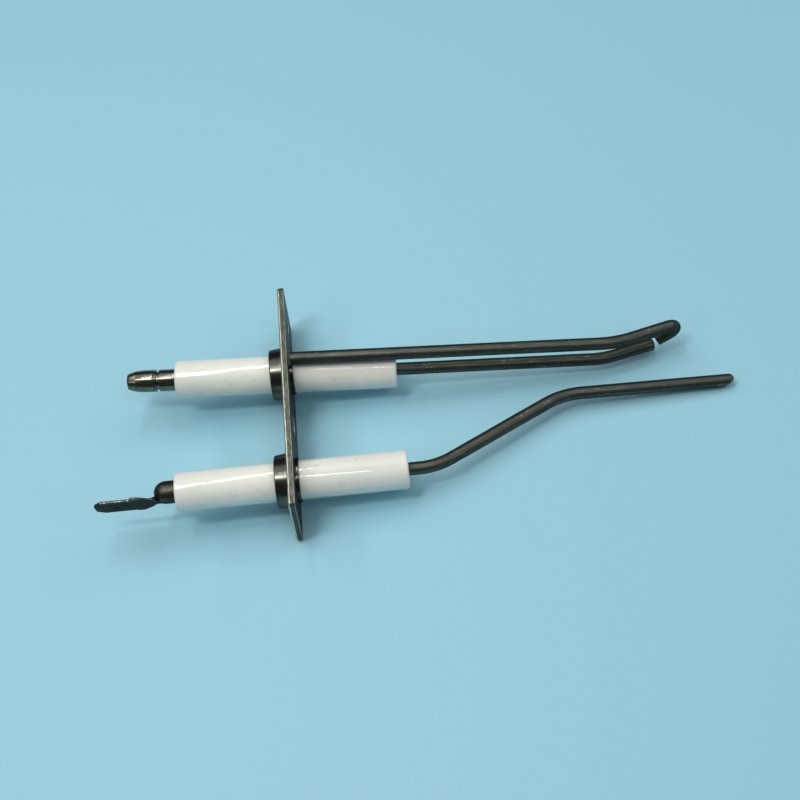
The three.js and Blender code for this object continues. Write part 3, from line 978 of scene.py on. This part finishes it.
def grout_piece(side, lean):
    """The cement between a bush's bore and its insulator, which may lean in it."""
    back = BUSH_OUTER_END + GROUT_RECESS
    front = BUSH_INNER_END - GROUT_RECESS
    outline = [
        (back, GROUT_INNER_RADIUS, 0.0),
        (back, BUSH_BORE_RADIUS - SEAT_PLAY, 0.0),
        (front, BUSH_BORE_RADIUS - SEAT_PLAY, 0.0),
        (front, GROUT_INNER_RADIUS, 0.0),
    ]
    grout = turned(f"{side}_bush_grout", outline, steps=96)
    core = cylinder("core", GROUT_CORE_ENDS, INSULATOR_RADIUS + SEAT_PLAY, 96)
    core.matrix_world = leaning(0, lean)
    boolean_cut(grout, core)
    return smooth(grout)


for side, seat in (("sensor", SENSOR_SEAT), ("spark", SPARK_SEAT)):
    finish_piece(bush_piece(side), f"{side}_bush", BUSH_STEEL, seat)

for side, seat in (("sensor", SENSOR_SEAT), ("spark", SPARK_LINE)):
    finish_piece(insulator_piece(side), f"{side}_insulator", CERAMIC, seat)
    finish_piece(potting_piece(side), f"{side}_rod_cement", CEMENT, seat)

for side, seat, lean in (("sensor", SENSOR_SEAT, 0.0), ("spark", SPARK_SEAT, SPARK_LEAN)):
    finish_piece(grout_piece(side, lean), f"{side}_bush_cement", CEMENT, seat)

# ---- Rods. Each seed gives its wire an unevenness of its own ----


def spark_rod_piece():
    """Straight through the insulator, with one bend towards the hook."""
    start = Vector((SPARK_ROD_START, 0, 0))
    corner = Vector((SPARK_ROD_CORNER_X, 0, 0))
    tip = corner + heading(SPARK_ROD_BEND) * SPARK_ROD_TIP_LENGTH
    corners = [start, corner, tip]
    return smooth(rod("spark_rod_drawn", corners, [SPARK_ROD_BEND_RADIUS], SPARK_ROD_TIP_EASE, seed=3.0))


def sensor_rod_piece():
    """Two opposite bends with a long slant between them, and a tip ground to a slope."""
    start = Vector((SENSOR_ROD_START, 0, 0))
    first = Vector((SENSOR_ROD_CORNER_X, 0, 0))
    second = first + heading(SENSOR_SLANT) * SENSOR_SLANT_LENGTH
    tip = second + heading(SENSOR_TIP_ANGLE) * SENSOR_TIP_LENGTH
    corners = [start, first, second, tip]
    return smooth(
        rod(
            "sensor_rod_drawn",
            corners,
            SENSOR_BEND_RADII,
            SENSOR_TIP_EASE,
            seed=7.0,
            tip_grind=SENSOR_TIP_GRIND,
        )
    )


def ground_rod_piece():
    """Along the top of the spark insulator, up to a hook that comes back and down over the spark rod."""
    start = Vector((GROUND_ROD_START, 0, GROUND_ROD_HEIGHT))
    corner = Vector((GROUND_ROD_CORNER_X, GROUND_ROD_CORNER_Y, GROUND_ROD_HEIGHT))
    hook = corner + heading(GROUND_BEND) * GROUND_SLANT_LENGTH
    leg = heading(GROUND_BEND + HOOK_SWING + math.pi, -HOOK_DROP)
    corners = [start, corner, hook, hook + leg * HOOK_LEG_LENGTH]
    radii = [GROUND_BEND_RADIUS, HOOK_RADIUS]
    return smooth(rod("ground_rod_drawn", corners, radii, HOOK_TIP_EASE, seed=11.0))


finish_piece(spark_rod_piece(), "spark_rod", ROD_ALLOY, SPARK_LINE)
finish_piece(sensor_rod_piece(), "sensor_rod", ROD_ALLOY, SENSOR_SEAT)
finish_piece(ground_rod_piece(), "ground_rod", ROD_ALLOY, SPARK_LINE)

# ---- Weld ----


def bead_wobble(x, angle):
    """The bead's unevenness, which stops just before the edge that meets the rod."""
    if x >= BEAD_EVEN_FROM:
        return 0.0
    y = math.cos(angle) * BEAD_UNEVEN_ACROSS
    z = math.sin(angle) * BEAD_UNEVEN_ACROSS
    return BEAD_UNEVENNESS * noise.noise(Vector((x * BEAD_UNEVEN_ALONG, y, z)))


def weld_piece():
    """A low bead round the ground rod's foot, cut back from the bush's spigot."""
    outline = [
        (BEAD_START, ROD_RADIUS + SEAT_PLAY, 0.0),
        (BEAD_START, ROD_RADIUS + BEAD_BASE_WIDTH, BEAD_BASE_EASE),
        (BEAD_CREST, ROD_RADIUS + BEAD_CREST_WIDTH, BEAD_CREST_EASE),
        (BEAD_END, ROD_RADIUS + SEAT_PLAY, 0.0),
    ]
    weld = turned("ground_rod_bead", outline, steps=96, wobble=bead_wobble)
    weld.data.transform(Matrix.Translation(Vector((0, 0, GROUND_ROD_HEIGHT)) * MM))
    boolean_cut(weld, cylinder("reach", BEAD_CUT_ENDS, BUSH_SPIGOT_RADIUS + BEAD_SPIGOT_GAP, 144))
    return smooth(weld, angle=50)


finish_piece(weld_piece(), "ground_rod_weld", WELD_METAL, SPARK_LINE)

# ---- Spark terminal pin ----


def pin_piece():
    """A turned pin with a rounded nose, a scored line, a groove and a blind bore for the rod."""
    back = INSULATOR_BACK_END - SEAT_PLAY
    groove_start, groove_end = PIN_GROOVE_FLOOR
    outline = [
        (PIN_TIP, 0.0, 0),
        (PIN_TIP, PIN_TIP_RADIUS, 0.12),
        (PIN_TIP_CHAMFER_END, PIN_TIP_CHAMFER_RADIUS, 0.2),
        (PIN_NOSE_MIDDLE, PIN_NOSE_RADIUS, 1.2),
        (PIN_NOSE_END, PIN_RADIUS, 2.5),
        (PIN_SCORE_START, PIN_RADIUS, 0.04),
        (PIN_SCORE_MIDDLE, PIN_SCORE_RADIUS, 0.0),
        (PIN_SCORE_END, PIN_RADIUS, 0.04),
        (PIN_GROOVE_START, PIN_RADIUS, 0.08),
        (groove_start, PIN_GROOVE_RADIUS, PIN_GROOVE_EASE),
        (groove_end, PIN_GROOVE_RADIUS, PIN_GROOVE_EASE),
        (PIN_GROOVE_END, PIN_REAR_RADIUS, 0.1),
        (back, PIN_REAR_RADIUS, 0.1),
        (back, ROD_RADIUS + SEAT_PLAY, 0.0),
        (PIN_BORE_END, ROD_RADIUS + SEAT_PLAY, 0.0),
        (PIN_BORE_END, 0.0, 0),
    ]
    return smooth(turned("spark_pin_turned", outline, closed=False))


finish_piece(pin_piece(), "spark_terminal_pin", PIN_NICKEL, SPARK_LINE)

# ---- Sensor tab terminal ----


def swell(t):
    """Rises smoothly from 0 to 1 as t goes from 0 to 1."""
    return 0.5 - 0.5 * math.cos(math.pi * min(1.0, max(0.0, t)))


def tab_edges(x):
    """The blade's reach to its far and its near side, and its thickness, at x."""
    far = TAB_ROOT
    far += (TAB_NECK_FAR - TAB_ROOT) * swell((TAB_NECK_FAR_START - x) / TAB_NECK_FAR_LENGTH)
    far += (TAB_SHOULDER_FAR - TAB_NECK_FAR) * swell((TAB_SHOULDER_FAR_START - x) / TAB_SHOULDER_FAR_LENGTH)
    near = TAB_ROOT
    near += (TAB_NECK_NEAR - TAB_ROOT) * swell((TAB_NECK_NEAR_START - x) / TAB_NECK_NEAR_LENGTH)
    shoulder = swell((TAB_SHOULDER_NEAR_START - x) / TAB_SHOULDER_NEAR_LENGTH)
    near += (TAB_SHOULDER_NEAR - TAB_NECK_NEAR) * shoulder
    if x < TAB_TORN_FROM:
        far += TAB_TORN_DEPTH * noise.noise(Vector((x * TAB_TORN_SCALE, 0.4, 2.0)))
    far += (TAB_HALF_WIDTH - far) * swell((TAB_SHOULDER_FAR_END - x) / TAB_SHOULDER_FAR_STEP)
    near += (TAB_HALF_WIDTH - near) * swell((TAB_SHOULDER_NEAR_END - x) / TAB_SHOULDER_NEAR_STEP)
    taper = max(0.0, (TAB_CHAMFER_START - x) / (TAB_CHAMFER_START - TAB_TIP))
    taper = (TAB_HALF_WIDTH - TAB_TIP_HALF_WIDTH) * taper
    root = 1 - swell((TAB_ROOT_THIN_START - x) / TAB_ROOT_THIN_LENGTH)
    thickness = TAB_THICKNESS + TAB_ROOT_THICKENING * root
    thickness -= TAB_TIP_THINNING * swell((x - TAB_TIP - TAB_TIP_EASE) / -TAB_TIP_EASE)
    return far - taper, near - taper, thickness


def tab_blade():
    """The flat blade: a round-edged section at each station from the dome to the tip."""
    count = round((TAB_DOME_START - TAB_TIP) / TAB_SPACING) + 1
    places = [TAB_DOME_START - TAB_SPACING * k for k in range(count)]
    step = TAB_SHOULDER_FAR_STEP / TAB_SHOULDER_STATIONS
    places += [TAB_SHOULDER_FAR_END - step * k for k in range(TAB_SHOULDER_STATIONS + 1)]
    places = sorted((x for x in places if x > TAB_TIP), reverse=True) + [TAB_TIP]
    half_turns = [math.pi * (k / TAB_EDGE_STEPS - 0.5) for k in range(TAB_EDGE_STEPS + 1)]
    points = []
    rings = []
    for x in places:
        far, near, thickness = tab_edges(x)
        r = thickness / 2
        first = len(points)
        for side, reach in ((1, near - r), (-1, far - r)):
            for a in half_turns:
                points.append((x, TAB_FACE - r + side * r * math.sin(a), side * (reach + r * math.cos(a))))
        rings.append(list(range(first, len(points))))
    sides = len(rings[0])
    faces = [rings[0], rings[-1]]
    for a, b in zip(rings, rings[1:]):
        for k in range(sides):
            n = (k + 1) % sides
            faces.append((a[k], a[n], b[n], b[k]))
    return mesh_object("blade", points, faces)


TAB_TURN = Matrix.Rotation(math.pi + TAB_ROLL, 4, "X")
TAB_SHIFT = Vector((0, TAB_OFFSET_Y, 0)) * MM


def tab_piece():
    """A barrel with a domed end on the rod, and a flat blade that leaves it along one side."""
    back = INSULATOR_BACK_END - SEAT_PLAY
    turns = [math.pi / 2 * k / TAB_DOME_STEPS for k in range(TAB_DOME_STEPS + 1)]
    dome = [
        (TAB_DOME_START - TAB_DOME_LENGTH * math.cos(a), TAB_BARREL_RADIUS * math.sin(a), 0) for a in turns
    ]
    outline = dome + [(back, TAB_BARREL_RADIUS, TAB_BARREL_EASE), (back, 0.0, 0)]
    barrel = turned("sensor_tab_pressed", outline, closed=False, steps=96)
    blade = tab_blade()
    bore = cylinder("bore", TAB_BORE_ENDS, ROD_RADIUS + SEAT_PLAY, 96)
    bore.matrix_world = TAB_TURN.inverted() @ Matrix.Translation(-TAB_SHIFT)
    hole = cylinder("hole", (-TAB_HOLE_REACH, TAB_HOLE_REACH), TAB_HOLE_RADIUS, 48)
    across = Matrix.Rotation(math.pi / 2, 4, "Z")
    hole.matrix_world = Matrix.Translation(Vector((TAB_HOLE_AT, 0, 0)) * MM) @ across
    boolean_cut(barrel, blade, operation="UNION")
    boolean_cut(barrel, bore, hole)
    return smooth(barrel, angle=40)


tab_place = Matrix.Translation(TAB_SHIFT) @ SENSOR_SEAT @ TAB_TURN
finish_piece(tab_piece(), "sensor_tab_terminal", TAB_STEEL, tab_place)

# ---- Floor ----


def floor_piece():
    """A plain, pale floor under the plate's lower edge."""
    size = FLOOR_HALF_SIZE
    corners = [(-size, -size, 0), (size, -size, 0), (size, size, 0), (-size, size, 0)]
    obj = mesh_object("floor", corners, [(0, 1, 2, 3)])
    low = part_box("mounting_plate")[0]
    obj.matrix_world = Matrix.Translation(Vector((0, 0, low.z))) @ Matrix.Rotation(-FLOOR_SLOPE, 4, "Y")
    shade = Shade("floor", Metallic=0.0, Roughness=0.55)
    grain = shade.noise(shade.place(), 1.2, detail=3)
    shade.set("Base Color", shade.blend(grain, (0.30, 0.60, 0.74), (0.33, 0.63, 0.77)))
    obj.data.materials.append(shade.material)
    return obj


floor_piece()

# ---- Light ----

WARMEST = (1.0, 0.98, 0.91)
WARM = (1.0, 0.98, 0.94)
SOFT = (1.0, 0.99, 0.96)
NEUTRAL = (1.0, 0.99, 0.97)
SKY_COLOUR = (0.80, 0.88, 0.95, 1)
SKY_STRENGTH = 0.1


def strip_light(name, start, end, width, power, colour):
    """A rectangular light from start to end, in millimetres, turned about its long side to face the part."""
    start, end = Vector(start), Vector(end)
    middle = (start + end) / 2
    data = bpy.data.lights.new(name, "AREA")
    data.shape = "RECTANGLE"
    data.size = (end - start).length * MM
    data.size_y = width * MM
    data.energy = power
    data.color = colour
    light = bpy.data.objects.new(name, data)
    bpy.context.scene.collection.objects.link(light)
    along = (end - start).normalized()
    aim = -middle.normalized()
    aim = (aim - along * aim.dot(along)).normalized()
    turn = Matrix((along, -aim.cross(along), -aim)).transposed().to_4x4()
    light.matrix_world = Matrix.Translation(middle * MM) @ turn


# Narrow lights that draw the highlights along the insulators, the pin and the rods.
strip_light("long_tube", (-150, -150, 600), (-45, 400, 600), 10, 0.64, WARM)
strip_light("end_tube", (-180, 44, 600), (-118, 44, 600), 12, 0.22, WARMEST)
strip_light("short_tube", (-48, -105, 600), (12, -218, 600), 12, 0.12, WARM)
strip_light("right_tube", (95, -265, 600), (255, -120, 600), 8, 0.27, WARM)
strip_light("side_window", (-335, -95, 600), (-150, -95, 600), 70, 0.98, WARMEST)

# Broad, soft lights that model the shapes and the shadows.
strip_light("left_wall", (-650, -50, 800), (-650, 850, 800), 120, 1.78, SOFT)
strip_light("right_wall", (750, -50, 800), (750, 850, 800), 120, 1.87, SOFT)
strip_light("left_fill", (-950, -420, 700), (-550, -420, 700), 400, 0.94, NEUTRAL)
strip_light("right_fill", (600, -420, 700), (1000, -420, 700), 400, 1.02, NEUTRAL)
strip_light("soft_overhead", (-650, 400, 850), (750, 400, 850), 620, 2.04, SOFT)

world = bpy.data.worlds.new("studio")
world.use_nodes = True
world.node_tree.nodes["Background"].inputs["Color"].default_value = SKY_COLOUR
world.node_tree.nodes["Background"].inputs["Strength"].default_value = SKY_STRENGTH
bpy.context.scene.world = world
bpy.context.scene.view_settings.view_transform = "Standard"

# ---- Camera ----

CAMERA_TARGET = Vector((25.27, -0.19, 0)) * MM
CAMERA_DISTANCE = 282.13 * MM
CAMERA_AZIMUTH = math.radians(2.466)
CAMERA_ELEVATION = math.radians(57.69)
CAMERA_ROLL = math.radians(-3.588)
CAMERA_CLIP_START = 10 * MM
SENSOR_WIDTH = 36.0
FOCAL_LENGTH = 54.0

forward = heading(math.pi / 2 - CAMERA_AZIMUTH, -CAMERA_ELEVATION)
level = forward.cross(Vector((0, 0, 1))).normalized()
upright = level.cross(forward)
right = level * math.cos(CAMERA_ROLL) + upright * math.sin(CAMERA_ROLL)
up = right.cross(forward)
camera_data = bpy.data.cameras.new("camera")
camera_data.sensor_width = SENSOR_WIDTH
camera_data.lens = FOCAL_LENGTH
camera_data.clip_start = CAMERA_CLIP_START
camera = bpy.data.objects.new("camera", camera_data)
bpy.context.scene.collection.objects.link(camera)
axes = Matrix((right, up, -forward)).transposed().to_4x4()
camera.matrix_world = Matrix.Translation(CAMERA_TARGET - forward * CAMERA_DISTANCE) @ axes
bpy.context.scene.camera = camera
